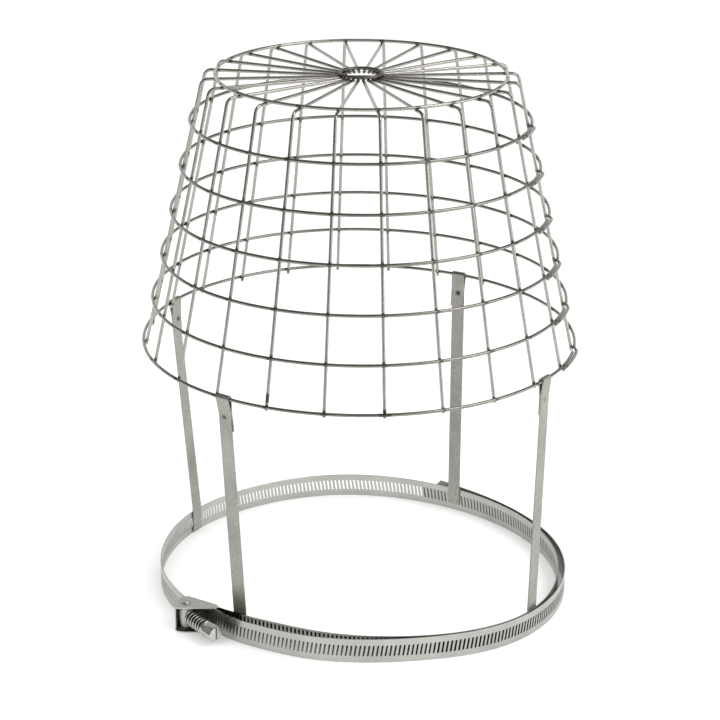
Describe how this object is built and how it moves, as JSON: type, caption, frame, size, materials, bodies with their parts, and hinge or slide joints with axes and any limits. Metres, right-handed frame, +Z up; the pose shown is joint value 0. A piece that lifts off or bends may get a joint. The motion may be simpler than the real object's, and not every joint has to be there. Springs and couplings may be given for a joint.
{
  "type": "chimney cap",
  "caption": "Stainless wire cage cap for a chimney pot, held above a worm-drive clamp strip by four strap legs.",
  "frame": {"origin": "on the cage's upright axis, in the plane of the clamp strip's lower edge", "axes": "+Z up along the cage's axis, -Y towards the picture's viewer, +X to the viewer's right"},
  "size_m": [0.3222, 0.3222, 0.3978],
  "materials": {
    "wire": "bright drawn stainless wire with brown weld marks",
    "leg_strap": "dull rolled stainless",
    "strip": "satin rolled stainless",
    "housing": "pressed stainless",
    "screw": "bright turned steel"
  },
  "bodies": {
    "cap": {"cage_wire_01": "wire", "cage_wire_02": "wire", "cage_wire_03": "wire", "cage_wire_04": "wire", "cage_wire_05": "wire", "cage_wire_06": "wire", "cage_wire_07": "wire", "cage_wire_08": "wire", "cage_wire_09": "wire", "cage_wire_10": "wire", "cage_wire_11": "wire", "cage_wire_12": "wire", "cage_wire_13": "wire", "cage_wire_14": "wire", "cage_wire_15": "wire", "cage_wire_16": "wire", "cage_wire_17": "wire", "cage_wire_18": "wire", "cage_wire_19": "wire", "cage_wire_20": "wire", "cage_wire_21": "wire", "cage_wire_22": "wire", "cage_wire_23": "wire", "cage_wire_24": "wire", "side_hoop_1": "wire", "side_hoop_2": "wire", "side_hoop_3": "wire", "side_hoop_4": "wire", "side_hoop_5": "wire", "side_hoop_6": "wire", "top_ring": "wire", "hub_ring": "wire", "leg_front_left": "leg_strap", "leg_front_right": "leg_strap", "leg_back_right": "leg_strap", "leg_back_left": "leg_strap", "clamp_strip": "strip", "screw_housing": "housing", "top_rivet": "housing", "bottom_rivet": "housing"},
    "saddle": {"screw_saddle": "housing"},
    "screw": {"worm_screw": "screw"}
  },
  "joints": [
    {"name": "screw_swing", "type": "hinge", "parent": "cap", "child": "saddle", "pos_m": [-0.12592, -0.08989, 0.0092], "axis": [0, 0, 1], "range_deg": [-40, 11]},
    {"name": "screw_spin", "type": "hinge", "parent": "saddle", "child": "screw", "pos_m": [-0.12592, -0.08989, 0.0092], "axis": [0.6293, -0.7771, 0], "continuous": true}
  ]
}
